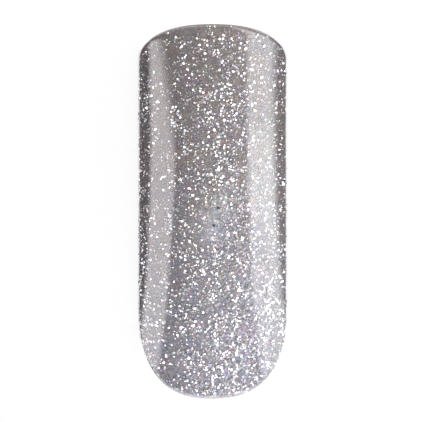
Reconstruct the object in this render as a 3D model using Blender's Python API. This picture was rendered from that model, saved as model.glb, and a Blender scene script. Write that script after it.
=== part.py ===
"""Painted nail tip: a moulded full-cover false nail under four coats of gel polish.

Metres, +Z up. The nail lies convex side up on its two side rims, which are cut flat at z = 0. +Y
points to the free edge and -Y to the cuticle end. The origin is under the middle of the nail's box.

All surfaces belong to one family. Every cross-section at a constant y is a circular arc whose centre
is on the plane x = 0, and each coat follows the plastic's outer arc at its own height. A place in
the family is given by a spoke, which runs from the spine to the outline, by a depth inwards from the
outline along that spoke, and by a height above the plastic.
"""

import itertools
import math

import bmesh
import bpy

MM = 0.001

# Painted nail: overall size and lengthwise arch
NAIL_LENGTH = 30.6 * MM
SHOULDER_WIDTH = 12.12 * MM
PEAK_HEIGHT = 4.2 * MM
PEAK_Y = 4.5 * MM
FREE_EDGE_DROP = 0.40 * MM
CUTICLE_DROP = 1.60 * MM
SHOULDER_HEIGHT = 0.55 * MM

# Plan shape of the two rounded ends: superellipses, from a straight side to the end's middle
FREE_EDGE_DEPTH = 2.8 * MM
FREE_EDGE_POWER = 2.28
CUTICLE_DEPTH = 7.3 * MM
CUTICLE_POWER = 2.48

# Moulded plastic wall, thinner where it meets the cuticle
WALL = 0.50 * MM
CUTICLE_WALL = 0.28 * MM
THINNING_LENGTH = 8.0 * MM

# Coats, from the plastic outwards, and the clearance under each of them
CLEARANCE = 0.02 * MM
BASE_THICKNESS = 0.06 * MM
COLOUR_THICKNESS = 0.09 * MM
TOP_THICKNESS = 0.13 * MM
EDGE_RADIUS = 0.25 * MM
EDGE_SHARE = 0.30

# Bare margin outside the top coat, and the step from each coat's edge to the next one's
SIDE_MARGIN = 0.05 * MM
SIDE_STEP = 0.04 * MM
END_MARGIN = 0.03 * MM
END_STEP = 0.04 * MM

# Rounded outer edge of the top coat: its run, and points up it as shares of run and of height
EDGE_RUN = 0.016 * MM
EDGE_CURVE = ((0.0, 0.5), (0.25, 0.8), (1.0, 1.0))

# Rounded nose and lip of the top coat, which seal the free edge
NOSE_LENGTH = 0.55 * MM
LIP_THICKNESS = 0.08 * MM
LIP_DEPTH = 0.28 * MM
BROW_SHARE = 0.9

# Round an end, the sine of the turn where the side margin is gone, and where the lip starts and is full
SIDE_MARGIN_GONE = 0.5
LIP_START = 0.31
LIP_FULL = 0.94

# Facets
SIDE_SPOKES = 12
FREE_EDGE_SPOKES = 16
CUTICLE_SPOKES = 20
INNER_RINGS = (0.80, 0.64, 0.48, 0.32, 0.16)
EDGE_RING_STEPS = (0.12 * MM, 0.30 * MM)
CREASE_ANGLE = math.radians(35)

COATS = (
    ("base_coat", BASE_THICKNESS),
    ("first_glitter_coat", COLOUR_THICKNESS),
    ("second_glitter_coat", COLOUR_THICKNESS),
    ("top_coat", TOP_THICKNESS),
)
COATS_HEIGHT = sum(thickness + CLEARANCE for _, thickness in COATS)
FREE_EDGE_Y = NAIL_LENGTH / 2 - CLEARANCE - LIP_THICKNESS
CUTICLE_Y = -NAIL_LENGTH / 2
SIDE_TOP_Y = FREE_EDGE_Y - FREE_EDGE_DEPTH
SIDE_BOTTOM_Y = CUTICLE_Y + CUTICLE_DEPTH
SPINE_TOP_Y = SIDE_TOP_Y - FREE_EDGE_DEPTH
SPINE_BOTTOM_Y = SIDE_BOTTOM_Y


def smooth_step(value):
    """Eases from 0 to 1 as value goes from 0 to 1."""
    held = min(max(value, 0.0), 1.0)
    return held * held * (3 - 2 * held)


def spine_height(y):
    """Height of the painted nail's spine above the table."""
    if y > PEAK_Y:
        return PEAK_HEIGHT - FREE_EDGE_DROP * ((y - PEAK_Y) / (FREE_EDGE_Y - PEAK_Y)) ** 2
    return PEAK_HEIGHT - CUTICLE_DROP * ((PEAK_Y - y) / (PEAK_Y - CUTICLE_Y)) ** 2


def plastic_arc(y):
    """Centre height and radius of the plastic's outer arc.

    The coats have their full thickness down to the shoulder, whose width is the same all along.
    """
    rise = spine_height(y) - SHOULDER_HEIGHT
    painted_radius = ((SHOULDER_WIDTH / 2) ** 2 + rise**2) / (2 * rise)
    return spine_height(y) - painted_radius, painted_radius - COATS_HEIGHT


def wall_thickness(y):
    """Thickness of the plastic at y."""
    towards_cuticle = smooth_step((CUTICLE_Y + THINNING_LENGTH - y) / THINNING_LENGTH)
    return WALL + (CUTICLE_WALL - WALL) * towards_cuticle


def rim_half_width(y):
    """Half the width of the plastic where its outer arc meets the table."""
    centre, radius = plastic_arc(y)
    return math.sqrt(radius**2 - centre**2)


def on_arc(angle, y, height):
    """The point at an angle from the vertical, and at a height above the plastic."""
    centre, radius = plastic_arc(y)
    reach = radius + height
    return (reach * math.sin(angle), y, centre + reach * math.cos(angle))


class Spoke:
    """A line on the plastic from the spine to the outline."""

    def __init__(self, x, y, root, sideness, lip):
        self.angle = math.asin(x / plastic_arc(y)[1])
        self.y = y
        self.root = root
        self.root_y = spine_station(root)
        self.sideness = sideness
        self.lip = lip
        along_arc = plastic_arc(y)[1] * self.angle
        self.length = math.hypot(along_arc, self.y - self.root_y)

    def point(self, depth, height):
        """The point at a depth inwards from the outline and a height above the plastic."""
        return self.point_at(1 - depth / self.length, height)

    def point_at(self, share, height):
        """The point at a share of the way from the spine to the outline."""
        y = self.root_y + share * (self.y - self.root_y)
        return on_arc(share * self.angle, y, height)

    def margin(self, coat):
        """Depth of a coat's edge: the top coat reaches furthest out and the base coat least."""
        steps = len(COATS) - 1 - coat
        side = SIDE_MARGIN + steps * SIDE_STEP
        end = END_MARGIN + steps * END_STEP
        return end + (side - end) * self.sideness


def spine_station(index):
    """The y of one of the spine's points, counted from the cuticle end."""
    return SPINE_BOTTOM_Y + (SPINE_TOP_Y - SPINE_BOTTOM_Y) * index / SIDE_SPOKES


def side_spokes(side):
    """The spokes of one straight side, from the cuticle end to the free edge."""
    for index in range(SIDE_SPOKES + 1):
        y = SIDE_BOTTOM_Y + (SIDE_TOP_Y - SIDE_BOTTOM_Y) * index / SIDE_SPOKES
        yield Spoke(side * rim_half_width(y), y, index, 1.0, 0.0)


def end_spokes(count, start_y, depth, power, root, lip):
    """The spokes of a rounded end, from the +X side to the -X side, without the sides' own."""
    for index in range(1, count):
        turn = math.pi * index / count
        across, along = math.cos(turn), math.sin(turn)
        y = start_y + depth * along ** (2 / power)
        x = rim_half_width(y) * math.copysign(abs(across) ** (2 / power), across)
        sideness = 1 - smooth_step(along / SIDE_MARGIN_GONE)
        lip_share = lip * smooth_step((along - LIP_START) / (LIP_FULL - LIP_START))
        yield Spoke(x, y, root, sideness, lip_share)


def outline_spokes():
    """All spokes, anticlockwise as seen from above."""
    free_edge = end_spokes(
        FREE_EDGE_SPOKES, SIDE_TOP_Y, FREE_EDGE_DEPTH, FREE_EDGE_POWER, SIDE_SPOKES, 1.0
    )
    cuticle = end_spokes(CUTICLE_SPOKES, SIDE_BOTTOM_Y, -CUTICLE_DEPTH, CUTICLE_POWER, 0, 0.0)
    right, left = list(side_spokes(1)), list(side_spokes(-1))
    return right + list(free_edge) + left[::-1] + list(cuticle)[::-1]


def coat_edge(depth):
    """Share of a coat's full thickness at a depth inwards from its own edge."""
    left = 1 - min(depth / EDGE_RADIUS, 1.0)
    return EDGE_SHARE + (1 - EDGE_SHARE) * math.sqrt(1 - left * left)


def stack_height(spoke, coat, depth):
    """Height of the upper face of the coats up to and including this one, at a depth."""
    height = 0.0
    for index in range(coat + 1):
        inwards = depth - spoke.margin(index)
        if inwards >= 0:
            height += CLEARANCE + COATS[index][1] * coat_edge(inwards)
    return height


def edge_depths(spoke, coat):
    """Depths of the rings near a coat's edge, from the edge inwards."""
    margins = [spoke.margin(index) for index in range(coat, -1, -1)]
    return margins + [margins[-1] + step for step in EDGE_RING_STEPS]


def blend(plain, capped, share):
    """A profile point between its plain place and its place on the lip."""
    return tuple(a + (b - a) * share for a, b in zip(plain, capped, strict=True))


def nose_height(depth):
    """Height of the top coat's upper face where it rounds over the free edge."""
    left = max(NOSE_LENGTH - depth, 0.0) / (NOSE_LENGTH + CLEARANCE + LIP_THICKNESS)
    return COATS_HEIGHT * math.sqrt(1 - left * left)


def lip_profile(spoke):
    """Lower and upper profile points that turn the top coat's edge down over the free edge."""
    margin = spoke.margin(len(COATS) - 1)
    edge = EDGE_SHARE * TOP_THICKNESS
    outer = -CLEARANCE - LIP_THICKNESS
    brow = BROW_SHARE * outer
    plain_lower = ((margin, CLEARANCE), (margin + EDGE_RUN, CLEARANCE))
    capped_lower = ((-CLEARANCE, -LIP_DEPTH), (-CLEARANCE, CLEARANCE))
    plain_upper = [(margin + run * EDGE_RUN, CLEARANCE + rise * edge) for run, rise in EDGE_CURVE]
    capped_upper = (
        (-CLEARANCE - LIP_THICKNESS / 2, -LIP_DEPTH),
        (outer, -LIP_DEPTH / 2),
        (brow, nose_height(brow)),
    )
    return (
        [blend(*pair, spoke.lip) for pair in zip(plain_lower, capped_lower, strict=True)],
        [blend(*pair, spoke.lip) for pair in zip(plain_upper, capped_upper, strict=True)],
    )


def coat_profiles(spoke, coat):
    """A coat's lower and upper (depth, height) points near its edge, from the edge inwards."""
    depths = edge_depths(spoke, coat)
    lower = [(depth, stack_height(spoke, coat - 1, depth) + CLEARANCE) for depth in depths]
    upper = [(depth, stack_height(spoke, coat, depth)) for depth in depths]
    if coat < len(COATS) - 1:
        return lower, upper
    nose = [blend(point, (point[0], nose_height(point[0])), spoke.lip) for point in upper]
    lip_lower, lip_upper = lip_profile(spoke)
    return lip_lower + lower[1:], lip_upper + nose[1:]


def coat_rings(spokes, coat):
    """Rings of a coat's lower and upper face, from the edge inwards, and the two spines."""
    lower_height = stack_height(spokes[0], coat - 1, spokes[0].length) + CLEARANCE
    upper_height = stack_height(spokes[0], coat, spokes[0].length)
    profiles = [coat_profiles(spoke, coat) for spoke in spokes]
    faces = []
    for side, height in enumerate((lower_height, upper_height)):
        count = len(profiles[0][side])
        rings = [
            [spoke.point(*profile[side][index]) for spoke, profile in zip(spokes, profiles, strict=True)]
            for index in range(count)
        ]
        rings += [[spoke.point_at(share, height) for spoke in spokes] for share in INNER_RINGS]
        spine = [on_arc(0.0, spine_station(index), height) for index in range(SIDE_SPOKES + 1)]
        faces.append((rings, spine))
    return faces


def plastic_rings(spokes):
    """Rings of the plastic's lower and upper face, from the edge inwards, and the two spines."""
    upper = [[spoke.point(0.0, 0.0) for spoke in spokes]]
    lower = [[rim_point(spoke) for spoke in spokes]]
    first_ring = [1 - edge_depths(spoke, 0)[-1] / spoke.length for spoke in spokes]
    for ring in (first_ring, *([share] * len(spokes) for share in INNER_RINGS)):
        places = list(zip(spokes, ring, strict=True))
        upper.append([spoke.point_at(share, 0.0) for spoke, share in places])
        lower.append([inner_point(spoke, share) for spoke, share in places])
    stations = [spine_station(index) for index in range(SIDE_SPOKES + 1)]
    return (
        (lower, [on_arc(0.0, y, -wall_thickness(y)) for y in stations]),
        (upper, [on_arc(0.0, y, 0.0) for y in stations]),
    )


def inner_point(spoke, share):
    """The point of the plastic's hollow face at a share of the way from the spine to the outline."""
    y = spoke.root_y + share * (spoke.y - spoke.root_y)
    return spoke.point_at(share, -wall_thickness(y))


def rim_point(spoke):
    """The hollow face's edge: square to the wall, or on the table where that would pass below it."""
    wall = wall_thickness(spoke.y)
    centre, radius = plastic_arc(spoke.y)
    square = centre + (radius - wall) * math.cos(spoke.angle)
    angle = math.acos((max(square, 0.0) - centre) / (radius - wall))
    return on_arc(math.copysign(angle, spoke.angle), spoke.y, -wall)


def add_skin(mesh, rings, spine, spokes, upwards):
    """Adds one face of a shell and returns its edge ring's vertices.

    Each cell is split along the same diagonal in every shell, so that neighbouring facets stay
    parallel, and the two halves of the nail mirror each other.
    """
    ring_verts = [[mesh.verts.new(point) for point in ring] for ring in rings]
    spine_verts = [mesh.verts.new(point) for point in spine]
    ring_verts.append([spine_verts[spoke.root] for spoke in spokes])
    for outer, inner in itertools.pairwise(ring_verts):
        for index, spoke in enumerate(spokes):
            after = (index + 1) % len(spokes)
            a, b, c, d = outer[index], outer[after], inner[after], inner[index]
            mirrored = spoke.angle + spokes[after].angle < 0
            halves = ((a, b, d), (b, c, d)) if mirrored else ((a, b, c), (a, c, d))
            for half in halves:
                if len(set(half)) == 3:
                    mesh.faces.new(half if upwards else half[::-1])
    return ring_verts[0]


def make_shell(name, spokes, faces, material):
    """Makes a closed shell from its lower and upper rings."""
    mesh = bmesh.new()
    lower_edge = add_skin(mesh, *faces[0], spokes, upwards=False)
    upper_edge = add_skin(mesh, *faces[1], spokes, upwards=True)
    for index in range(len(spokes)):
        after = (index + 1) % len(spokes)
        mesh.faces.new((lower_edge[index], lower_edge[after], upper_edge[after], upper_edge[index]))
    data = bpy.data.meshes.new(name)
    mesh.to_mesh(data)
    mesh.free()
    data.shade_smooth()
    data.set_sharp_from_angle(angle=CREASE_ANGLE)
    data.materials.append(material)
    shell = bpy.data.objects.new(name, data)
    bpy.context.collection.objects.link(shell)
    return shell


def make_material(name, colour, roughness, metallic=0.0, alpha=1.0):
    """Makes a Principled material."""
    material = bpy.data.materials.new(name)
    material.use_nodes = True
    shader = material.node_tree.nodes["Principled BSDF"]
    shader.inputs["Base Color"].default_value = (*colour, 1.0)
    shader.inputs["Roughness"].default_value = roughness
    shader.inputs["Metallic"].default_value = metallic
    shader.inputs["Alpha"].default_value = alpha
    return material


def coat_materials():
    """One material for each coat, from the plastic outwards."""
    return (
        make_material("clear_base_gel", (0.86, 0.84, 0.82), roughness=0.25),
        make_material("silver_glitter_gel_under", (0.42, 0.40, 0.41), roughness=0.35, metallic=0.8),
        make_material("silver_glitter_gel_over", (0.50, 0.48, 0.49), roughness=0.30, metallic=0.8),
        make_material("clear_top_gel", (0.95, 0.95, 0.96), roughness=0.05, alpha=0.25),
    )


def main():
    for item in list(bpy.data.objects):
        bpy.data.objects.remove(item, do_unlink=True)
    spokes = outline_spokes()
    plastic = make_material("milky_abs", (0.84, 0.81, 0.76), roughness=0.40)
    make_shell("nail_tip", spokes, plastic_rings(spokes), plastic)
    for coat, material in enumerate(coat_materials()):
        make_shell(COATS[coat][0], spokes, coat_rings(spokes, coat), material)


main()
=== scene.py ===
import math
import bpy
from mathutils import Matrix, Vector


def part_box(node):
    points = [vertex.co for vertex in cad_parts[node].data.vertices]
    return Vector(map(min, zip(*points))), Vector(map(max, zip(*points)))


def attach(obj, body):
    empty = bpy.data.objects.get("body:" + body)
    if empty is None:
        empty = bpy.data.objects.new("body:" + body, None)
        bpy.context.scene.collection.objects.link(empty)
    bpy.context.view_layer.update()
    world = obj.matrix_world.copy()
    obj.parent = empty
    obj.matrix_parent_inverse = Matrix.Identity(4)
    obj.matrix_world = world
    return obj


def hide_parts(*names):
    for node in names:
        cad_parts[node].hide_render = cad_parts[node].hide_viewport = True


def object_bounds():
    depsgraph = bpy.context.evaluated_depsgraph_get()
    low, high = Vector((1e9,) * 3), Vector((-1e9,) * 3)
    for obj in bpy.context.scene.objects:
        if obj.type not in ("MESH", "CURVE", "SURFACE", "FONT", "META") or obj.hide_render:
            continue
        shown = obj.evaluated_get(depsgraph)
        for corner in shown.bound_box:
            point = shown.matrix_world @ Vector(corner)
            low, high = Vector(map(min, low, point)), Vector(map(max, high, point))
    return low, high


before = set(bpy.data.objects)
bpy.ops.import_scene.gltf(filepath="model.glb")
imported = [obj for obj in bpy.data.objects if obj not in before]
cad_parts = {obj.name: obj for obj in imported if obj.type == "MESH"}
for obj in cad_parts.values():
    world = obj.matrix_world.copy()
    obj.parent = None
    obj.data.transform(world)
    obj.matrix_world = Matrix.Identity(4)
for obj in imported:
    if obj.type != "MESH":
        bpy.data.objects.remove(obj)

# Looks of a painted false nail tip: fine shells, thousands of glitter flakes, and the studio.
#
# Metres, +Z up. The nail lies on its two side rims, with +Y at the free edge and -Y at the cuticle.
# Its surfaces follow the CAD family: a place is given by a spoke from the spine to the outline, by a
# depth inwards from the outline, and by a height above the plastic's outer arc.

from types import SimpleNamespace

import bpy
import numpy as np
from mathutils import Vector

MM = 0.001
CAD_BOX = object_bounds()

# The nail's arch and outline, as in the CAD
CUTICLE_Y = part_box("nail_tip")[0].y
FREE_EDGE_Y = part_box("nail_tip")[1].y
PEAK_HEIGHT = CAD_BOX[1].z
PEAK_Y = 4.5 * MM
FREE_EDGE_DROP = 0.40 * MM
CUTICLE_DROP = 1.60 * MM
SHOULDER_HEIGHT = 0.55 * MM
SHOULDER_WIDTH = 12.12 * MM
FREE_EDGE_DEPTH = 2.8 * MM
FREE_EDGE_POWER = 2.28
CUTICLE_DEPTH = 7.3 * MM
CUTICLE_POWER = 2.48
WALL = 0.50 * MM
CUTICLE_WALL = 0.28 * MM
THINNING_LENGTH = 8.0 * MM

# Coats, as in the CAD. At SIDE_MARGIN_GONE of an end's turn its own margin has replaced the sides'.
CLEARANCE = 0.02 * MM
THICKNESSES = (0.06 * MM, 0.09 * MM, 0.09 * MM, 0.13 * MM)
BASE, UNDER, OVER, TOP = range(4)
EDGE_RADIUS = 0.25 * MM
EDGE_SHARE = 0.30
SIDE_MARGIN = 0.05 * MM
SIDE_STEP = 0.04 * MM
END_MARGIN = 0.03 * MM
END_STEP = 0.04 * MM
SIDE_MARGIN_GONE = 0.5
ROUNDING = 1e-9

# The top coat's nose over the free edge and the lip below it, which grows from LIP_START to
# LIP_FULL of the free edge's turn
NOSE_LENGTH = 0.55 * MM
LIP_THICKNESS = 0.08 * MM
LIP_DEPTH = 0.28 * MM
LIP_START = 0.31
LIP_FULL = 0.94
LIP_STEPS = 8
LIP_POWER = 1.5
NOSE_START = 0.4
NOSE_INSET = 0.25
EDGE_RUN = 0.016 * MM

# Facets of the fine shells
SIDE_SPOKES = 70
FREE_EDGE_SPOKES = 56
CUTICLE_SPOKES = 72
EDGE_RINGS = 7
EDGE_BAND = 0.55 * MM
EDGE_CROWDING = 1.6
INNER_RINGS = 26
PLASTIC_EDGE = 0.35 * MM
PLASTIC_BAND = 0.5 * MM
SHARP_ANGLE = math.radians(50)

# Glitter flakes by size class: count, least and greatest half-width, thinning to the free edge,
# and share kept on the left
FLAKE_CLASSES = (
    ("coarse_flakes", 6800, 0.085 * MM, 0.130 * MM, 0.60, 0.42),
    ("medium_flakes", 9400, 0.055 * MM, 0.085 * MM, 0.35, 0.20),
    ("fine_flakes", 10500, 0.034 * MM, 0.055 * MM, 0.10, 0.10),
)
FIRST_FLAKE_SEED = 11
FLAKE_SIDES = 6
FLAKE_THICKNESS = 0.006 * MM
FLAKE_STRETCH = 0.5
CHIPPED_REACH = 0.80
CHIP_RANGE = 0.32

# Flakes near the coat's edge: share kept there, width of that fade, and half-width by the inset
RIM_SHARE = 0.12
RIM_FADE = 0.22 * MM
RIM_HALF_WIDTH = 0.016 * MM
RIM_GROWTH = 0.50
FAR_INSET = 1.0 * MM

# Flakes' tilt and height, which leave room below the top coat's face
FLAKE_TILT = math.radians(21)
GREATEST_TILT = math.radians(58)
TILT_ROOM = 0.015 * MM
TILT_REACH = 2.1
LEAST_SLOPE = 0.02
LIFT_ROOM = 0.006 * MM
LIFT_BY_TILT = 0.9
LIFT_BY_ROOM = 0.8

# Where the flakes thin out or gather: the two places between which each fade runs
THINNING_Y = (-12 * MM, 12 * MM)
LEFT_X = (-5.2 * MM, -1.2 * MM)
LEFT_EDGE_X = (-4.8 * MM, -5.3 * MM)
LEFT_EDGE_GAIN = 0.55
REFLECTION_X = (1.6 * MM, 3.2 * MM)
REFLECTION_Y = (-8 * MM, -2 * MM)
REFLECTION_LOSS = 0.45
FREE_EDGE_FADE = (FREE_EDGE_Y - 1.8 * MM, FREE_EDGE_Y - 0.6 * MM)
FREE_EDGE_LOSS = 0.65
PATCH_LOSS = 0.94
PATCH_LOSS_POWER = 3

# Clumps of flakes: the same smooth field for every size class
CLUMP_SEED = 5
CLUMP_WAVES = 30
CLUMP_LENGTH = 1.7 * MM
CLUMP_LEAST = 0.6
CLUMP_RANGE = 0.9
CLUMP_MEAN = 0.74
CLUMP_SPREAD = 0.22
CLUMP_LIMITS = (0.20, 1.25)

# Material names of the two glitter gels
UNDER_GEL = "silver_glitter_gel_under"
OVER_GEL = "silver_glitter_gel_over"

# The smooth cloudy patch. Its border is given past the radius, from gone to full, after the wisps
# have added up to WISP_REACH to the distance.
PATCH_CENTRE = (0.27 * MM, -0.5 * MM)
PATCH_RADIUS = 1.35 * MM
PATCH_STRETCH = 1.9
PATCH_TURN = math.radians(27)
WISP_REACH = 3.6 * MM
PATCH_BORDER = (2.5 * MM, 0.9 * MM)

# Soft dark spots of painted shade, as if from shallow dimples in the gel, and pinholes in the patch:
# x, y and radius in millimetres. A pinhole's rings are given by their share of its radius and their
# height in millimetres.
DIMPLE_SHADE_SPOTS = ((1.56, 0.50, 0.34), (0.46, 0.26, 0.24), (0.55, -0.60, 0.15), (1.37, 1.17, 0.15))
SPOT_CORE = 0.2
PINHOLES = ((0.46, 0.26, 0.085), (0.10, -1.17, 0.10), (0.55, -0.60, 0.05))
PINHOLE_RINGS = ((1.35, 0.002), (1.15, 0.016), (0.95, 0.014), (0.7, 0.008), (0.4, 0.005))
PINHOLE_SIDES = 16
PINHOLE_LENGTH = 0.8

# Softboxes mirrored in the gloss: each edge's y, z, inward direction from +Y, and feather
SOFTBOX_SIZE = 0.80
RIGHT_EDGES = (
    (0.0, 0.166, -66, 0.064),
    (0.0, -0.020, 126, 0.058),
    (-0.085, 0.0, 0, 0.170),
    (0.33, 0.0, 180, 0.300),
)
BOOST_EDGES = (
    (0.012, 0.0, 180, 0.012),
    (-0.012, 0.0, 0, 0.012),
)
LEFT_EDGES = (
    (0.0046, 0.152, -45, 0.032),
    (0.010, 0.150, -166, 0.032),
    (0.33, 0.0, 180, 0.300),
    (0.0, -0.017, 106, 0.038),
    (-0.18, 0.0, 0, 0.036),
)

# Each softbox's x, radiance, colour and edges. The boost stands just behind the right softbox and
# brightens the part of it round y = 0.
SOFTBOXES = (
    ("softbox_right", 0.20, 5.0, (0.955, 1.0, 1.0), RIGHT_EDGES),
    ("softbox_boost", 0.203, 1.9, (0.955, 1.0, 1.0), RIGHT_EDGES + BOOST_EDGES),
    ("softbox_left", -0.20, 5.1, (1.0, 0.95, 0.97), LEFT_EDGES),
)

# Light panels that the flakes mirror: degrees from the zenith, azimuth, width and radiance
PANEL_DISTANCE = 0.35
SPARKLE_PANELS = (
    (30, 20, 0.10, 2.6),
    (34, 140, 0.10, 2.2),
    (32, 260, 0.10, 2.6),
    (52, 350, 0.12, 2.8),
    (50, 75, 0.12, 2.4),
    (52, 195, 0.12, 1.6),
    (48, 300, 0.12, 2.8),
    (68, 40, 0.13, 2.4),
    (68, 120, 0.13, 1.7),
    (70, 235, 0.13, 1.7),
    (68, 320, 0.13, 2.6),
    (106, 165, 0.12, 1.6),
    (112, 200, 0.12, 1.6),
    (108, 345, 0.12, 1.6),
    (112, 20, 0.12, 1.6),
)

# Soft panels that brighten the glitter gel on each side of the cuticle end, given the same way
VEIL_PANELS = (
    (54, 318, 0.22, 3.5),
    (52, 214, 0.22, 0.32),
)

# Studio radiance from straight down (0) to straight up (1), and how it leans towards +X and -Y
SKY_STOPS = ((0.0, 1.0), (0.17, 0.20), (0.30, 0.16), (0.44, 0.16), (0.56, 0.25), (1.0, 0.295))
SKY_LEAN = (0.33, -0.25, 0.0)

# Glow added towards both +Y and -Y. Below the horizon it grows to LOW_END_GLOW times as much, as
# the upward part of the direction goes from the first LOW_END to the second.
END_GLOW = 0.55
LOW_END_GLOW = 4.0
LOW_END = (-0.1, -0.5)

# What the camera sees past the table, and the table itself
BACKDROP = (0.98, 0.98, 0.98, 1)
TABLE_REACH = 1.5
TABLE_COLOUR = (0.93, 0.93, 0.93, 1)
TABLE_GLOW = 0.62

# The camera's lens and sensor in millimetres, the width that it sees at the table, and its x
LENS = 600
SENSOR = 36
FIELD = 34.58 * MM
CAMERA_X = -0.09 * MM

COATS_HEIGHT = sum(THICKNESSES) + CLEARANCE * len(THICKNESSES)
SIDE_TOP_Y = FREE_EDGE_Y - FREE_EDGE_DEPTH
SIDE_BOTTOM_Y = CUTICLE_Y + CUTICLE_DEPTH
SPINE_TOP_Y = SIDE_TOP_Y - FREE_EDGE_DEPTH
SPINE_BOTTOM_Y = SIDE_BOTTOM_Y


# ---------------------------------------------------------------- surface family


def smooth_step(value):
    """Eases from 0 to 1 as value goes from 0 to 1."""
    held = np.clip(value, 0.0, 1.0)
    return held * held * (3 - 2 * held)


def fade(value, ends):
    """Eases from 0 to 1 as value goes from the first end to the second."""
    start, end = ends
    return smooth_step((value - start) / (end - start))


def spine_height(y):
    """Height of the painted nail's spine above the table."""
    forward = FREE_EDGE_DROP * ((y - PEAK_Y) / (FREE_EDGE_Y - PEAK_Y)) ** 2
    backward = CUTICLE_DROP * ((PEAK_Y - y) / (PEAK_Y - CUTICLE_Y)) ** 2
    return PEAK_HEIGHT - np.where(y > PEAK_Y, forward, backward)


def plastic_arc(y):
    """Centre height and radius of the plastic's outer arc."""
    rise = spine_height(y) - SHOULDER_HEIGHT
    painted_radius = ((SHOULDER_WIDTH / 2) ** 2 + rise**2) / (2 * rise)
    return spine_height(y) - painted_radius, painted_radius - COATS_HEIGHT


def rim_half_width(y):
    """Half the width of the plastic where its outer arc meets the table."""
    centre, radius = plastic_arc(y)
    return np.sqrt(radius**2 - centre**2)


def wall_thickness(y):
    """Thickness of the plastic at y."""
    towards_cuticle = smooth_step((CUTICLE_Y + THINNING_LENGTH - y) / THINNING_LENGTH)
    return WALL + (CUTICLE_WALL - WALL) * towards_cuticle


def on_arc(angle, y, height):
    """Points at angles from the vertical, and at heights above the plastic."""
    centre, radius = plastic_arc(y)
    reach = radius + height
    return np.stack([reach * np.sin(angle), y + 0 * reach, centre + reach * np.cos(angle)], axis=-1)


def spine_station(share):
    """The y of the spine's points, at a share of the way from the cuticle end."""
    return SPINE_BOTTOM_Y + (SPINE_TOP_Y - SPINE_BOTTOM_Y) * share


def end_outline(count, start_y, depth, power):
    """Points of a rounded end from the +X side to the -X side, and how far each turned."""
    turn = np.pi * np.arange(1, count) / count
    along = np.sin(turn)
    y = start_y + depth * along ** (2 / power)
    across = np.sign(np.cos(turn)) * np.abs(np.cos(turn)) ** (2 / power)
    return rim_half_width(y) * across, y, along


def outline_spokes():
    """All spokes, anticlockwise from above: angle, y, root, sideness and lip of each."""
    index = np.arange(SIDE_SPOKES + 1)
    side_y = SIDE_BOTTOM_Y + (SIDE_TOP_Y - SIDE_BOTTOM_Y) * index / SIDE_SPOKES
    side_x = rim_half_width(side_y)
    front_x, front_y, front = end_outline(
        FREE_EDGE_SPOKES, SIDE_TOP_Y, FREE_EDGE_DEPTH, FREE_EDGE_POWER
    )
    back_x, back_y, back = end_outline(
        CUTICLE_SPOKES, SIDE_BOTTOM_Y, -CUTICLE_DEPTH, CUTICLE_POWER
    )
    x = np.concatenate([side_x, front_x, -side_x[::-1], back_x[::-1]])
    y = np.concatenate([side_y, front_y, side_y[::-1], back_y[::-1]])
    plain = 0.0 * side_y
    root = np.concatenate([index, 0 * front + SIDE_SPOKES, index[::-1], 0 * back]).astype(int)
    sideness = np.concatenate(
        [
            plain + 1,
            1 - smooth_step(front / SIDE_MARGIN_GONE),
            plain + 1,
            1 - smooth_step(back[::-1] / SIDE_MARGIN_GONE),
        ]
    )
    lip_share = smooth_step((front - LIP_START) / (LIP_FULL - LIP_START))
    lip = np.concatenate([plain, lip_share, plain, 0 * back])
    angle = np.arcsin(x / plastic_arc(y)[1])
    root_y = spine_station(root / SIDE_SPOKES)
    length = np.hypot(plastic_arc(y)[1] * angle, y - root_y)
    return SimpleNamespace(
        angle=angle, y=y, root=root, root_y=root_y, sideness=sideness, lip=lip, length=length
    )


SPOKES = outline_spokes()
SPINE_Y = spine_station(np.arange(SIDE_SPOKES + 1) / SIDE_SPOKES)


def point_at(share, height):
    """A ring of points at a share of the way from the spine to the outline, at a height."""
    y = SPOKES.root_y + share * (SPOKES.y - SPOKES.root_y)
    return on_arc(share * SPOKES.angle, y, height)


def margin(coat):
    """Depth of a coat's edge on each spoke."""
    steps = TOP - coat
    side = SIDE_MARGIN + steps * SIDE_STEP
    end = END_MARGIN + steps * END_STEP
    return end + (side - end) * SPOKES.sideness


def coat_edge(depth):
    """Share of a coat's full thickness at a depth inwards from its own edge."""
    left = 1 - np.clip(depth / EDGE_RADIUS, 0.0, 1.0)
    return EDGE_SHARE + (1 - EDGE_SHARE) * np.sqrt(1 - left * left)


def stack_height(coat, depth):
    """Height of the upper face of the coats up to and including this one, at a depth."""
    height = 0.0 * depth
    for index in range(coat + 1):
        inwards = depth - margin(index)
        layer = CLEARANCE + THICKNESSES[index] * coat_edge(inwards)
        height = height + np.where(inwards >= -ROUNDING, layer, 0.0)
    return height


def nose_height(depth):
    """Height of the top coat's upper face where it rounds over the free edge."""
    left = np.maximum(NOSE_LENGTH - depth, 0.0) / (NOSE_LENGTH + CLEARANCE + LIP_THICKNESS)
    return COATS_HEIGHT * np.sqrt(1 - np.minimum(left, 1.0) ** 2)


# ---------------------------------------------------------------- shells


def edge_depths(coat):
    """Depths of the fine rings near a coat's edge, closer together towards the edge."""
    start = margin(coat)
    inner = margin(BASE) + EDGE_BAND
    ease = (np.arange(EDGE_RINGS) / (EDGE_RINGS - 1)) ** EDGE_CROWDING
    return [start + (inner - start) * share for share in ease]


def inner_shares(start):
    """Shares of the rings from the edge band, which ends at start, to just before the spine."""
    return [start * (1 - step / INNER_RINGS) for step in range(1, INNER_RINGS)]


def coat_shares(coat):
    """Shares of a coat's rings from its edge to just before the spine."""
    shares = [1 - depth / SPOKES.length for depth in edge_depths(coat)]
    return shares + inner_shares(shares[-1])


def blend(plain, capped):
    """A profile value between its plain one and the one on the free edge's lip."""
    return plain + (capped - plain) * SPOKES.lip


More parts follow.
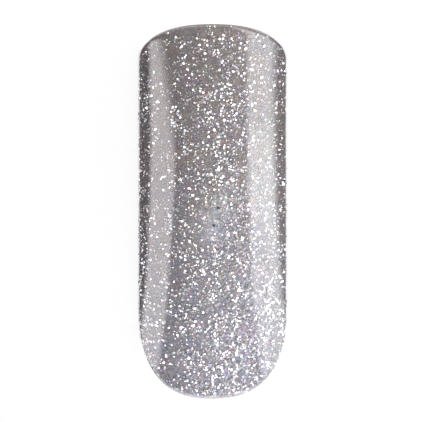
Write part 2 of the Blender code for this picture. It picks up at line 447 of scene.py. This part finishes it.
def lip_profile():
    """Lower and upper (depth, height) rings that turn the top coat down over the free edge."""
    start = margin(TOP)
    edge = EDGE_SHARE * THICKNESSES[TOP]
    outer = -CLEARANCE - LIP_THICKNESS
    lower = [
        (blend(start, -CLEARANCE), blend(CLEARANCE, -LIP_DEPTH)),
        (blend(start + EDGE_RUN, -CLEARANCE), blend(CLEARANCE, CLEARANCE)),
    ]
    upper = [
        (
            blend(start, -CLEARANCE - LIP_THICKNESS / 2),
            blend(CLEARANCE + 0.5 * edge, -LIP_DEPTH),
        )
    ]
    for step in range(1, LIP_STEPS):
        turn = step / LIP_STEPS
        plain_depth = start + EDGE_RUN * turn
        plain_height = CLEARANCE + edge * (0.5 + 0.5 * turn)
        nose_depth = outer * (1 - NOSE_INSET * turn**2)
        low = -LIP_DEPTH * (1 - turn) ** LIP_POWER
        nose = nose_height(nose_depth) if turn > NOSE_START else low
        upper.append((blend(plain_depth, nose_depth), blend(plain_height, nose)))
    return lower, upper


def coat_rings(coat):
    """A coat's lower and upper face, each as its rings from the edge inwards and its spine."""
    depths = edge_depths(coat)
    lower = [(depth, stack_height(coat - 1, depth) + CLEARANCE) for depth in depths]
    upper = [(depth, stack_height(coat, depth)) for depth in depths]
    if coat == TOP:
        upper = [(depth, blend(height, nose_height(depth))) for depth, height in upper]
        lip_lower, lip_upper = lip_profile()
        lower, upper = lip_lower + lower[1:], lip_upper + upper[1:]
    faces = []
    for profile in (lower, upper):
        flat = float(np.max(profile[-1][1]))
        rings = [point_at(1 - depth / SPOKES.length, height) for depth, height in profile]
        rings += [point_at(share, flat) for share in coat_shares(coat)[len(depths):]]
        faces.append((rings, on_arc(0.0, SPINE_Y, flat)))
    return faces


def hollow_ring(share):
    """A ring of the plastic's hollow face."""
    y = SPOKES.root_y + share * (SPOKES.y - SPOKES.root_y)
    return point_at(share, -wall_thickness(y))


def plastic_rings():
    """The plastic's hollow and outer face, each as its rings from the rim inwards and its spine."""
    wall = wall_thickness(SPOKES.y)
    centre, radius = plastic_arc(SPOKES.y)
    square = centre + (radius - wall) * np.cos(SPOKES.angle)
    angle = np.arccos((np.maximum(square, 0.0) - centre) / (radius - wall))
    start = 1 - PLASTIC_BAND / SPOKES.length
    inner = [start, *inner_shares(start)]
    lower = [on_arc(np.sign(SPOKES.angle) * angle, SPOKES.y, -wall)]
    lower += [hollow_ring(share) for share in inner]
    upper = [point_at(1.0, 0.0), point_at(1 - PLASTIC_EDGE / SPOKES.length, 0.0)]
    upper += [point_at(share, 0.0) for share in inner]
    return (
        (lower, on_arc(0.0, SPINE_Y, -wall_thickness(SPINE_Y))),
        (upper, on_arc(0.0, SPINE_Y, 0.0)),
    )


def skin_faces(ring_count, first_vertex, upwards):
    """Faces between a skin's rings and its spine, whose points come after the rings'."""
    count = len(SPOKES.y)
    ids = first_vertex + np.arange(ring_count * count).reshape(ring_count, count)
    spine = first_vertex + ring_count * count + SPOKES.root
    ids = np.vstack([ids, spine])
    faces = []
    for outer, inner in zip(ids, ids[1:], strict=False):
        for a, b, c, d in zip(outer, np.roll(outer, -1), np.roll(inner, -1), inner, strict=True):
            corners = list(dict.fromkeys((int(a), int(b), int(c), int(d))))
            faces.append(corners if upwards else corners[::-1])
    return faces, ids[0]


def add_object(name, data):
    """A new object in the scene."""
    thing = bpy.data.objects.new(name, data)
    bpy.context.scene.collection.objects.link(thing)
    return thing


def add_mesh(name, points, faces, material):
    """A new mesh object in the scene."""
    mesh = bpy.data.meshes.new(name)
    mesh.from_pydata(points, [], faces)
    mesh.materials.append(material)
    return add_object(name, mesh)


def make_shell(name, faces, material):
    """Makes a closed shell from its lower and upper rings."""
    points = []
    polygons = []
    edges = []
    for (rings, spine), upwards in zip(faces, (False, True), strict=True):
        skin, edge = skin_faces(len(rings), sum(len(p) for p in points), upwards)
        points += [*rings, spine]
        polygons += skin
        edges.append(edge)
    low, high = edges
    for a, b, c, d in zip(low, np.roll(low, -1), np.roll(high, -1), high, strict=True):
        polygons.append((int(a), int(b), int(c), int(d)))
    shell = add_mesh(name, np.concatenate(points).tolist(), polygons, material)
    shell.data.shade_smooth()
    shell.data.set_sharp_from_angle(angle=SHARP_ANGLE)
    return shell


# ---------------------------------------------------------------- glitter flakes


def skin_grid():
    """Rings over the upper glitter coat, with the room below the top coat's face and the inset.

    The inset is the distance to the coat's edge. It is only true near the edge, and is FAR_INSET
    further in.
    """
    depths = edge_depths(OVER)
    shares = [*coat_shares(OVER), 0 * SPOKES.length]
    beyond = len(shares) - len(depths)
    levels = [stack_height(OVER, depth) for depth in depths]
    rooms = [stack_height(TOP, depth) - level for depth, level in zip(depths, levels, strict=True)]
    insets = [depth - margin(OVER) for depth in depths]
    levels += [levels[-1]] * beyond
    rooms += [rooms[-1]] * beyond
    insets += [0 * SPOKES.length + FAR_INSET] * beyond
    grid = [point_at(share, level) for share, level in zip(shares, levels, strict=True)]
    return np.array(grid), np.array(rooms), np.array(insets)


def sample_skin(rng, count):
    """Random places on the upper glitter coat: point, normal, room and inset of each."""
    grid, room, inset = skin_grid()
    across = np.roll(grid, -1, axis=1) - grid
    inward = grid[1:] - grid[:-1]
    normals = np.cross(across[:-1], inward)
    area = np.linalg.norm(normals, axis=2)
    weights = np.cumsum(area.ravel())
    picked = np.searchsorted(weights, rng.random(count) * weights[-1])
    ring, spoke = np.unravel_index(picked, area.shape)
    after = (spoke + 1) % area.shape[1]
    u, v = rng.random(count), rng.random(count)

    def mixed(values):
        near = values[ring, spoke].T * (1 - u) + values[ring, after].T * u
        far = values[ring + 1, spoke].T * (1 - u) + values[ring + 1, after].T * u
        return (near * (1 - v) + far * v).T

    normal = normals[ring, spoke] / area[ring, spoke][:, None]
    return mixed(grid), normal, mixed(room), mixed(inset)


def clumping(rng, points):
    """A smooth random field over the nail, with a mean of 0 and a spread of 1."""
    heading = rng.random(CLUMP_WAVES) * 2 * np.pi
    phase = rng.random(CLUMP_WAVES) * 2 * np.pi
    length = CLUMP_LENGTH * (CLUMP_LEAST + CLUMP_RANGE * rng.random(CLUMP_WAVES))
    number = 2 * np.pi / length
    swing = np.outer(points[:, 0], np.cos(heading) * number)
    swing += np.outer(points[:, 1], np.sin(heading) * number)
    return np.cos(swing + phase).sum(axis=1) * math.sqrt(2 / CLUMP_WAVES)


def patch_distance(x, y):
    """Distance from the cloudy patch's middle, with 1 at its border."""
    x, y = x - PATCH_CENTRE[0], y - PATCH_CENTRE[1]
    across = x * math.cos(PATCH_TURN) - y * math.sin(PATCH_TURN)
    along = x * math.sin(PATCH_TURN) + y * math.cos(PATCH_TURN)
    return np.hypot(across, along / PATCH_STRETCH) / PATCH_RADIUS


def flake_share(points, thinning, left):
    """Share of the flakes that stay at each point.

    It falls towards the free edge, on the left, under the right reflection and in the patch, and
    rises again along the left edge.
    """
    x, y = points[:, 0], points[:, 1]
    along = 1 - thinning * fade(y, THINNING_Y)
    across = left + (1 - left) * fade(x, LEFT_X)
    across += LEFT_EDGE_GAIN * fade(x, LEFT_EDGE_X)
    across -= REFLECTION_LOSS * fade(x, REFLECTION_X) * fade(y, REFLECTION_Y)
    free_edge = 1 - FREE_EDGE_LOSS * fade(y, FREE_EDGE_FADE)
    patch = 1 - PATCH_LOSS * np.exp(-(patch_distance(x, y) ** PATCH_LOSS_POWER))
    field = clumping(np.random.default_rng(CLUMP_SEED), points)
    clumps = np.clip(CLUMP_MEAN + CLUMP_SPREAD * field, *CLUMP_LIMITS)
    return along * across * free_edge * patch * clumps


def unit(vectors):
    """Rows of vectors, each at a length of 1."""
    return vectors / np.linalg.norm(vectors, axis=1)[:, None]


def lay_flakes(rng, count, least, greatest, thinning, left):
    """The flakes of one size class that stay: centre, half-width, spin and axes of each."""
    centre, normal, room, inset = sample_skin(rng, count)
    rim = RIM_SHARE + (1 - RIM_SHARE) * smooth_step(inset / RIM_FADE)
    kept = rng.random(count) < rim * flake_share(centre, thinning, left)
    centre, normal, room, inset = centre[kept], normal[kept], room[kept], inset[kept]
    count = len(centre)
    radius = least + (greatest - least) * rng.random(count)
    radius = np.minimum(radius, RIM_HALF_WIDTH + RIM_GROWTH * inset)
    tilt = FLAKE_TILT * np.sqrt(-2 * np.log(1 - rng.random(count)))
    slope = np.clip((room - TILT_ROOM) / (TILT_REACH * radius), LEAST_SLOPE, 1.0)
    tilt = np.minimum(np.minimum(tilt, GREATEST_TILT), np.arcsin(slope))
    turn = rng.random(count) * 2 * np.pi
    spin = rng.random(count) * 2 * np.pi
    side = unit(np.cross(normal, (0.0, 1.0, 0.0)))
    front = np.cross(normal, side)
    lean = side * np.cos(turn)[:, None] + front * np.sin(turn)[:, None]
    facing = normal * np.cos(tilt)[:, None] + lean * np.sin(tilt)[:, None]
    first = unit(np.cross(facing, np.cross(normal, lean)))
    second = np.cross(facing, first)
    half = radius * np.sin(tilt) + FLAKE_THICKNESS
    spare = np.maximum(room - 2 * half - LIFT_ROOM, 0.0)
    lift = half * LIFT_BY_TILT + spare * rng.random(count) * LIFT_BY_ROOM
    centre = centre + normal * lift[:, None]
    return SimpleNamespace(
        centre=centre, radius=radius, spin=spin, facing=facing, first=first, second=second
    )


def flake_points(rng, flakes):
    """Corners of stretched, chipped hexagons: each flake's upper six, then its lower six."""
    count = len(flakes.radius)
    stretch = 1 + FLAKE_STRETCH * rng.random(count)
    chips = CHIPPED_REACH + CHIP_RANGE * rng.random((FLAKE_SIDES, count))
    corners = []
    for face in (0.5, -0.5):
        for corner in range(FLAKE_SIDES):
            swing = flakes.spin + corner * 2 * math.pi / FLAKE_SIDES
            reach = flakes.first * (np.cos(swing) * stretch)[:, None]
            reach += flakes.second * np.sin(swing)[:, None]
            arm = (flakes.radius * chips[corner] / np.sqrt(stretch))[:, None]
            corners.append(flakes.centre + reach * arm + flakes.facing * face * FLAKE_THICKNESS)
    return np.stack(corners, axis=1).reshape(-1, 3)


def flake_faces(count):
    """Two caps and six sides for each of count flakes."""
    corner = np.arange(FLAKE_SIDES)
    after = (corner + 1) % FLAKE_SIDES
    last = 2 * FLAKE_SIDES - 1
    start = (np.arange(count) * 2 * FLAKE_SIDES)[:, None]
    caps = np.concatenate([start + corner, start + last - corner])
    quads = np.stack([corner, corner + FLAKE_SIDES, after + FLAKE_SIDES, after], axis=1)
    sides = np.concatenate([start + quad for quad in quads])
    return caps.tolist() + sides.tolist()


def make_flakes(material):
    """One piece for each size class of closed platelets, in the clear gel over the coat."""
    pieces = []
    for seed, (name, *sizes) in enumerate(FLAKE_CLASSES, start=FIRST_FLAKE_SEED):
        rng = np.random.default_rng(seed)
        flakes = lay_flakes(rng, *sizes)
        points = flake_points(rng, flakes).tolist()
        pieces.append(add_mesh(name, points, flake_faces(len(flakes.radius)), material))
    return pieces


def make_pinholes(material):
    """Shallow pits with raised rims on the upper glitter coat, where bubbles broke in the gel."""
    points = []
    faces = []
    height = COATS_HEIGHT - THICKNESSES[TOP] - CLEARANCE
    sides = PINHOLE_SIDES
    turns = np.arange(sides) * 2 * np.pi / sides
    for x, y, radius in PINHOLES:
        reach = plastic_arc(y * MM)[1]
        start = len(points)
        for share, lift in PINHOLE_RINGS:
            round_x = x * MM / reach + share * radius * MM * np.cos(turns) / reach
            round_y = y * MM + share * radius * MM * np.sin(turns) * PINHOLE_LENGTH
            points += on_arc(round_x, round_y, height + lift * MM).tolist()
        last = len(points) - sides
        for row in range(start, last, sides):
            for side in range(sides):
                a = row + side
                b = row + (side + 1) % sides
                faces.append((a, b, b + sides, a + sides))
        faces.append(tuple(range(last, last + sides)))
        faces.append(tuple(range(start + sides - 1, start - 1, -1)))
    piece = add_mesh("gel_pinholes", points, faces, material)
    piece.data.shade_smooth()
    return piece


# ---------------------------------------------------------------- materials


class Nodes:
    """Short calls for building a node tree."""

    def __init__(self, tree):
        self.tree = tree

    def add(self, kind, inputs=None, **settings):
        """Adds a node. inputs maps a socket's name or number to a value or an output."""
        node = self.tree.nodes.new("ShaderNode" + kind)
        for key, value in settings.items():
            setattr(node, key, value)
        for key, value in (inputs or {}).items():
            self.set(node, key, value)
        return node

    def set(self, node, key, value):
        """Gives a socket a plain value, or links an output to it."""
        if isinstance(value, bpy.types.NodeSocket):
            self.tree.links.new(value, node.inputs[key])
        else:
            node.inputs[key].default_value = value

    def maths(self, operation, a, b=0.0, c=0.0):
        return self.add("Math", {0: a, 1: b, 2: c}, operation=operation).outputs[0]

    def product(self, first, *others):
        """All the factors multiplied."""
        for other in others:
            first = self.maths("MULTIPLY", first, other)
        return first

    def vector(self, operation, a, b):
        return self.add("VectorMath", {0: a, 1: b}, operation=operation).outputs[0]

    def scaled(self, vector, factor):
        return self.add("VectorMath", {0: vector, "Scale": factor}, operation="SCALE").outputs[0]

    def remap(self, value, before=(0.0, 1.0), after=(0.0, 1.0), smooth=False):
        """Maps the range before onto the range after, and holds the value past both ends."""
        inputs = {
            "Value": value,
            "From Min": before[0],
            "From Max": before[1],
            "To Min": after[0],
            "To Max": after[1],
        }
        kind = "SMOOTHSTEP" if smooth else "LINEAR"
        return self.add("MapRange", inputs, interpolation_type=kind).outputs[0]

    def ramp(self, factor, stops, interpolation="LINEAR"):
        """A colour ramp through (place, colour) stops."""
        node = self.add("ValToRGB", {0: factor})
        node.color_ramp.interpolation = interpolation
        elements = node.color_ramp.elements
        while len(elements) < len(stops):
            elements.new(1.0)
        for element, (where, colour) in zip(elements, stops, strict=True):
            element.position = where
            element.color = (*colour, 1.0)
        return node.outputs[0]


class Material(Nodes):
    """A material's node tree, with the patterns that the nail's materials share."""

    def __init__(self, name):
        self.material = bpy.data.materials.new(name)
        self.material.use_nodes = True
        super().__init__(self.material.node_tree)
        self.shader = self.tree.nodes["Principled BSDF"]
        self.out = self.tree.nodes["Material Output"]

    def shade(self, **looks):
        """Sets the shader's sockets, such as base_color for Base Color, and gives the material."""
        for key, value in looks.items():
            self.set(self.shader, key.replace("_", " ").title(), value)
        return self.material

    def mix(self, factor, a, b, blend_type="MIX"):
        inputs = {0: factor, 6: a, 7: b}
        node = self.add("Mix", inputs, data_type="RGBA", blend_type=blend_type, clamp_result=True)
        return node.outputs[2]

    def place(self):
        """The place in the nail's own frame, in millimetres."""
        return self.scaled(self.add("TexCoord").outputs["Object"], 1 / MM)

    def noise(self, vector, size, detail=2.0, rough=0.5):
        """Noise whose bumps are about size millimetres across."""
        inputs = {"Vector": vector, "Scale": 1 / size, "Detail": detail, "Roughness": rough}
        return self.add("TexNoise", inputs).outputs["Fac"]

    def cells(self, vector, size):
        """A random colour for each cell about size millimetres across."""
        return self.add("TexVoronoi", {"Vector": vector, "Scale": 1 / size}).outputs["Color"]

    def bump(self, height, strength, distance):
        """The surface's normal, tipped by a height pattern."""
        inputs = {"Height": height, "Strength": strength, "Distance": distance}
        return self.add("Bump", inputs).outputs[0]

    def patch_mask(self, place):
        """1 inside the smooth cloudy patch and 0 away from it, with a wispy border."""
        middle = (PATCH_CENTRE[0] / MM, PATCH_CENTRE[1] / MM, 0.0)
        away = self.vector("SUBTRACT", place, middle)
        turning = {"Vector": away, "Angle": PATCH_TURN}
        turned = self.add("VectorRotate", turning, rotation_type="Z_AXIS").outputs[0]
        squashed = self.vector("MULTIPLY", turned, (1.0, 1 / PATCH_STRETCH, 0.0))
        distance = self.add("VectorMath", {0: squashed}, operation="LENGTH").outputs["Value"]
        wisps = self.noise(away, 0.7, detail=5.0, rough=0.7)
        wispy = self.maths("MULTIPLY_ADD", wisps, WISP_REACH / MM, distance)
        border = [(PATCH_RADIUS + past) / MM for past in PATCH_BORDER]
        return self.remap(wispy, border, smooth=True)

    def spots_mask(self, place, spots):
        """1 in the middle of soft round spots and 0 away from them."""
        flat = self.vector("MULTIPLY", place, (1.0, 1.0, 0.0))
        total = 0.0
        for x, y, radius in spots:
            middle = {0: flat, 1: (x, y, 0.0)}
            away = self.add("VectorMath", middle, operation="DISTANCE").outputs["Value"]
            spot = self.remap(away, (radius, radius * SPOT_CORE), smooth=True)
            total = self.maths("MAXIMUM", total, spot)
        return total

    def scattered_normal(self, cell_colour, amount):
        """The surface's normal, turned at random for each cell."""
        normal = self.add("NewGeometry").outputs["Normal"]
        centred = self.vector("SUBTRACT", cell_colour, (0.5, 0.5, 0.5))
        turned = self.vector("ADD", normal, self.scaled(centred, amount))
        return self.add("VectorMath", {0: turned}, operation="NORMALIZE").outputs[0]


FLAKE_TINTS = (
    (0.00, (0.90, 0.87, 0.88)),
    (0.36, (0.94, 0.89, 0.90)),
    (0.56, (0.94, 0.81, 0.87)),
    (0.68, (0.82, 0.79, 0.94)),
    (0.78, (0.77, 0.87, 0.94)),
    (0.88, (0.80, 0.91, 0.84)),
    (0.94, (0.94, 0.90, 0.76)),
)
SPECK_TINTS = (
    (0.00, (0.90, 0.86, 0.88)),
    (0.14, (0.99, 0.73, 0.83)),
    (0.32, (0.84, 0.76, 0.99)),
    (0.48, (0.71, 0.86, 0.99)),
    (0.64, (0.76, 0.94, 0.80)),
    (0.82, (0.99, 0.88, 0.67)),
)
HAZES = (
    (0.30, (1.00, 0.92, 0.94)),
    (0.42, (0.97, 0.96, 0.93)),
    (0.51, (0.91, 0.97, 0.94)),
    (0.60, (0.92, 0.94, 1.00)),
    (0.72, (1.00, 0.93, 1.00)),
)
WARM_GREY = (0.800, 0.700, 0.690, 1)
COOL_GREY = (0.765, 0.730, 0.830, 1)
PATCH_LILAC = (0.92, 0.90, 1.0, 1)
PATCH_GREY = (0.90, 0.88, 0.88, 1)
PATCH_COVER = 0.85
PATCH_LIFT = 0.12
PATCH_UNTINTED = 0.25
# How dark the painted shade of the soft spots is
DIMPLE_SHADE_DARKNESS = 0.50

# Where the gel turns cool and where the patch turns grey, in millimetres along y, and how much
# noise adds to y for the first
COOLING_Y = (12.0, -3.0)
COOLING_DRIFT = 14.0
GREYING_Y = (-1.6, 0.8)

# Brightness over the clouds' and the specks' noise, and over y, the distance from x = 0 and x in
# millimetres: the range of each and the factors at its two ends. The factor over y is painted light,
# brighter towards the cuticle end and darker towards the free edge. The factor over the distance
# from x = 0 is painted shade down both sides.
CLOUD_TONES = ((0.3, 0.7), (0.84, 1.14))
SPECK_TONES = ((0.0, 1.0), (0.84, 1.14))
# Painted light: the gel is brighter towards the cuticle end and darker towards the free edge.
LENGTH_LIGHT_TONES = ((-13.0, 6.0), (1.08, 0.87))
# Painted shade: the gel darkens down both sides of the nail.
SIDE_SHADE_TONES = ((4.4, 5.9), (1.0, 0.72))
ACROSS_TONES = ((-1.2, 0.8), (1.0, 0.90))


def gel_colour(n, place, along, patch):
    """Warm grey at the free edge, cool grey at the cuticle end, faintly clouded with colour.

    The patch is lilac at its lower end and grey at its upper end.
    """
    drift = n.noise(place, 4.0, detail=3.0)
    coolness = n.remap(n.maths("MULTIPLY_ADD", drift, COOLING_DRIFT, along), COOLING_Y)
    body = n.mix(coolness, WARM_GREY, COOL_GREY)
    elsewhere = n.add("Mapping", {"Vector": place, "Location": (31.0, 7.0, 3.0)}).outputs[0]
    hue = n.ramp(n.noise(elsewhere, 1.5, detail=4.0, rough=0.6), HAZES)
    body = n.mix(1.0, body, hue, "MULTIPLY")
    cloudy = n.mix(n.remap(along, GREYING_Y), PATCH_LILAC, PATCH_GREY)
    return n.mix(n.maths("MULTIPLY", patch, PATCH_COVER), body, cloudy)


def gel_tone_light_and_shade(n, place, across, along, speck, patch):
    """Brightness: clouded, lower to the right, painted light along y, painted shade at sides and in
    spots.
    """
    clouds = n.noise(place, 0.9, detail=5.0, rough=0.65)
    # Painted shade: soft dark spots, as if from shallow dimples in the gel.
    spots = n.maths("MULTIPLY", n.spots_mask(place, DIMPLE_SHADE_SPOTS), DIMPLE_SHADE_DARKNESS)
    return n.product(
        n.remap(clouds, *CLOUD_TONES),
        n.remap(speck, *SPECK_TONES),
        n.remap(along, *LENGTH_LIGHT_TONES),
        n.remap(n.maths("ABSOLUTE", across), *SIDE_SHADE_TONES),
        n.remap(across, *ACROSS_TONES),
        n.maths("MULTIPLY_ADD", patch, PATCH_LIFT, 1.0),
        n.maths("SUBTRACT", 1.0, spots),
    )


def glitter_gel(name, depth_shade, cell, scatter):
    """Gel packed with fine shimmer: each speck is a mirror of its own tint and its own tilt."""
    n = Material(name)
    place = n.place()
    specks = n.cells(place, cell)
    pick, speck, _ = n.add("SeparateColor", {0: specks}).outputs
    across, along, _ = n.add("SeparateXYZ", {0: place}).outputs
    patch = n.patch_mask(place)
    body = gel_colour(n, place, along, patch)
    tint = n.ramp(pick, SPECK_TINTS, "CONSTANT")
    tinting = n.maths("SUBTRACT", 1.0, n.maths("MULTIPLY", patch, PATCH_UNTINTED))
    colour = n.mix(tinting, body, tint, "MULTIPLY")
    # tone carries the gel's clouded brightness together with its painted light and painted shade.
    tone = n.maths("MULTIPLY", gel_tone_light_and_shade(n, place, across, along, speck, patch), depth_shade)
    return n.shade(
        base_color=n.scaled(colour, tone),
        metallic=0.5,
        roughness=0.38,
        normal=n.scattered_normal(specks, scatter),
    )


def flake_material():
    """Silvered film: each flake keeps one faint tint of pink, blue, green or none."""
    n = Material("silver_flake")
    island = n.add("NewGeometry").outputs["Random Per Island"]
    tint = n.ramp(island, FLAKE_TINTS, "CONSTANT")
    smudge = n.noise(n.place(), 0.06, detail=1.0)
    return n.shade(
        base_color=n.scaled(tint, n.remap(smudge, after=(0.9, 1.06))),
        metallic=1.0,
        roughness=n.remap(smudge, after=(0.12, 0.26)),
    )


def pinhole_gel():
    """Dull dark gel inside the pinholes."""
    n = Material("pinhole_gel")
    soot = n.noise(n.place(), 0.05)
    return n.shade(
        base_color=n.mix(soot, (0.20, 0.18, 0.18, 1), (0.36, 0.33, 0.33, 1)), roughness=0.6
    )


def top_gel():
    """Clear gloss gel: what is under it shows through, and its outer face mirrors the studio."""
    n = Material("clear_top_gel")
    n.tree.nodes.remove(n.shader)
    place = n.place()
    haze = n.noise(place, 1.5, detail=3.0)
    clear = n.mix(haze, (0.955, 0.955, 0.965, 1), (0.985, 0.985, 0.985, 1))
    through = n.add("BsdfTransparent", {"Color": clear}).outputs[0]
    ripples = n.bump(n.noise(place, 1.4, detail=1.0), 0.12, 0.02 * MM)
    gloss = {"Color": (1, 1, 1, 1), "Roughness": 0.035, "Normal": ripples}
    sheen = n.add("BsdfGlossy", gloss).outputs[0]
    fresnel = n.add("Fresnel", {"IOR": 1.5}).outputs[0]
    front = n.maths("SUBTRACT", 1.0, n.add("NewGeometry").outputs["Backfacing"])
    share = n.maths("MULTIPLY", fresnel, front)
    n.set(n.out, "Surface", n.add("MixShader", {0: share, 1: through, 2: sheen}).outputs[0])
    return n.material


def base_gel():
    """Cured clear base gel, faintly milky."""
    n = Material("clear_base_gel")
    haze = n.noise(n.place(), 1.2)
    return n.shade(
        base_color=n.mix(haze, (0.80, 0.78, 0.76, 1), (0.88, 0.86, 0.84, 1)),
        roughness=0.22,
        coat_weight=0.6,
    )


def milky_abs():
    """Milky natural ABS with faint flow clouds and a fine satin grain."""
    n = Material("milky_abs")
    place = n.place()
    flow = n.noise(place, 3.5, detail=4.0)
    grain = n.noise(place, 0.07)
    return n.shade(
        base_color=n.mix(flow, (0.80, 0.77, 0.71, 1), (0.88, 0.855, 0.81, 1)),
        roughness=n.remap(grain, after=(0.34, 0.52)),
        normal=n.bump(grain, 0.25, 0.01 * MM),
        subsurface_weight=0.25,
        subsurface_radius=(1.0, 0.8, 0.6),
        subsurface_scale=0.6 * MM,
    )


def pale_table():
    """Matt pale grey that also glows, so that it comes out almost white."""
    n = Material("pale_table")
    n.set(n.shader, "Specular IOR Level", 0.0)
    return n.shade(
        base_color=TABLE_COLOUR,
        roughness=0.9,
        emission_color=(1, 1, 1, 1),
        emission_strength=TABLE_GLOW,
    )


# ---------------------------------------------------------------- studio


def make_floor():
    """A wide pale table under the nail, which the gloss doesn't mirror."""
    low, high = -TABLE_REACH, TABLE_REACH
    corners = [(low, low, 0), (high, low, 0), (high, high, 0), (low, high, 0)]
    floor = add_mesh("table", corners, [(0, 1, 2, 3)], pale_table())
    floor.visible_glossy = False
    floor.visible_diffuse = False
    floor.visible_transmission = False
    floor.visible_shadow = False


def make_panel(name, size, radiance, receivers):
    """A square light panel that shines on the receivers alone."""
    data = bpy.data.lights.new(name, "AREA")
    data.shape = "RECTANGLE"
    data.size = size
    data.size_y = size
    data.energy = 4 * radiance * size * size
    light = add_object(name, data)
    light.visible_camera = False
    lit = bpy.data.collections.new(name + "_receivers")
    for piece in receivers:
        lit.objects.link(piece)
    light.light_linking.receiver_collection = lit
    return light


def make_aimed_panels(name, panels, receivers):
    """Panels that face the nail."""
    for index, (from_top, azimuth, width, radiance) in enumerate(panels):
        light = make_panel(f"{name}_{index}", width, radiance, receivers)
        tilt, turn = math.radians(from_top), math.radians(azimuth)
        level = math.sin(tilt)
        aim = Vector((level * math.cos(turn), level * math.sin(turn), math.cos(tilt)))
        light.location = PANEL_DISTANCE * aim
        light.rotation_euler = aim.to_track_quat("Z", "Y").to_euler()


def make_softbox(name, x, radiance, colour, edges, receivers):
    """An upright softbox at x beside the nail, lit inside its edges and feathered along them.

    Each edge is (y, z, direction, feather): a place on it in metres, the degrees by which its
    inward side is turned from +Y towards +Z, and the width over which it fades.
    """
    light = make_panel(name, SOFTBOX_SIZE, radiance, receivers)
    light.data.color = colour
    side = math.copysign(1, x)
    light.location = (x, 0.0, 0.0)
    light.rotation_euler = (math.radians(90), 0, math.radians(90 * side))
    light.data.use_nodes = True
    n = Nodes(light.data.node_tree)
    u, v, _ = n.add("SeparateXYZ", {0: n.add("NewGeometry").outputs["Parametric"]}).outputs
    y = n.maths("MULTIPLY_ADD", u, side * SOFTBOX_SIZE, -side * SOFTBOX_SIZE / 2)
    z = n.maths("MULTIPLY_ADD", v, SOFTBOX_SIZE, -SOFTBOX_SIZE / 2)
    strength = 1.0
    for edge_y, edge_z, direction, feather in edges:
        across, up = math.cos(math.radians(direction)), math.sin(math.radians(direction))
        inwards = n.maths("MULTIPLY_ADD", y, across, -edge_y * across - edge_z * up)
        inwards = n.maths("MULTIPLY_ADD", z, up, inwards)
        inside = n.remap(inwards, (-feather / 2, feather / 2), smooth=True)
        strength = n.maths("MULTIPLY", inside, strength)
    n.set(n.tree.nodes["Emission"], "Strength", strength)


def make_world():
    """A dim studio: brighter above, straight below, to the right and beyond the nail's two ends."""
    world = bpy.data.worlds.new("studio")
    bpy.context.scene.world = world
    world.use_nodes = True
    n = Nodes(world.node_tree)
    direction = n.add("TexCoord").outputs["Generated"]
    _, along, upward = n.add("SeparateXYZ", {0: direction}).outputs
    greys = [(where, (grey, grey, grey)) for where, grey in SKY_STOPS]
    layers = n.ramp(n.remap(upward, (-1.0, 1.0)), greys)
    lean = n.add("VectorMath", {0: direction, 1: SKY_LEAN}, operation="DOT_PRODUCT")
    plain = n.maths("MULTIPLY", layers, n.maths("ADD", 1.0, lean.outputs["Value"]))
    low = n.remap(upward, LOW_END, (1.0, LOW_END_GLOW))
    ends = n.product(along, along, low)
    sky = n.maths("MULTIPLY_ADD", ends, END_GLOW, plain)
    camera_ray = n.add("LightPath").outputs["Is Camera Ray"]
    seen = n.add("Mix", {0: camera_ray, 6: sky, 7: BACKDROP}, data_type="RGBA").outputs[2]
    n.set(n.tree.nodes["Background"], "Color", seen)


def make_camera():
    """Straight above the nail, through a long lens, with the free edge at the top."""
    data = bpy.data.cameras.new("camera")
    data.lens = LENS
    data.sensor_width = SENSOR
    data.clip_start = 0.01
    data.clip_end = 10
    camera = add_object("camera", data)
    camera.location = (CAMERA_X, 0.0, FIELD * LENS / SENSOR)
    bpy.context.scene.camera = camera


# ---------------------------------------------------------------- assembly


def add_piece(piece, node):
    """Lets a piece ride on the nail, and hides the CAD node that it stands for."""
    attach(piece, "root")
    if node:
        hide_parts(node)


def main():
    # Both glitter coats are the same gel; the under one is darkened as painted shade for lying
    # deeper.
    under = glitter_gel(UNDER_GEL, depth_shade=0.85, cell=0.08, scatter=0.55)
    over = glitter_gel(OVER_GEL, depth_shade=1.0, cell=0.09, scatter=0.70)
    layers = (
        ("nail_tip_plastic", plastic_rings(), milky_abs(), "nail_tip", "milky_abs"),
        ("base_gel_film", coat_rings(BASE), base_gel(), "base_coat", "clear_base_gel"),
        ("under_glitter_film", coat_rings(UNDER), under, "first_glitter_coat", UNDER_GEL),
        ("over_glitter_film", coat_rings(OVER), over, "second_glitter_coat", OVER_GEL),
        ("top_gel_film", coat_rings(TOP), top_gel(), "top_coat", "clear_top_gel"),
    )
    shells = []
    for name, rings, material, node, slot in layers:
        shell = make_shell(name, rings, material)
        add_piece(shell, node)
        shells.append(shell)
    *lower_shells, top = shells
    flakes = make_flakes(flake_material())
    for piece in (*flakes, make_pinholes(pinhole_gel())):
        add_piece(piece, None)
    make_floor()
    for softbox in SOFTBOXES:
        make_softbox(*softbox, [top])
    make_aimed_panels("panel", SPARKLE_PANELS, flakes)
    make_aimed_panels("veil", VEIL_PANELS, lower_shells)
    make_world()
    make_camera()
    bpy.context.scene.view_settings.view_transform = "Standard"


main()
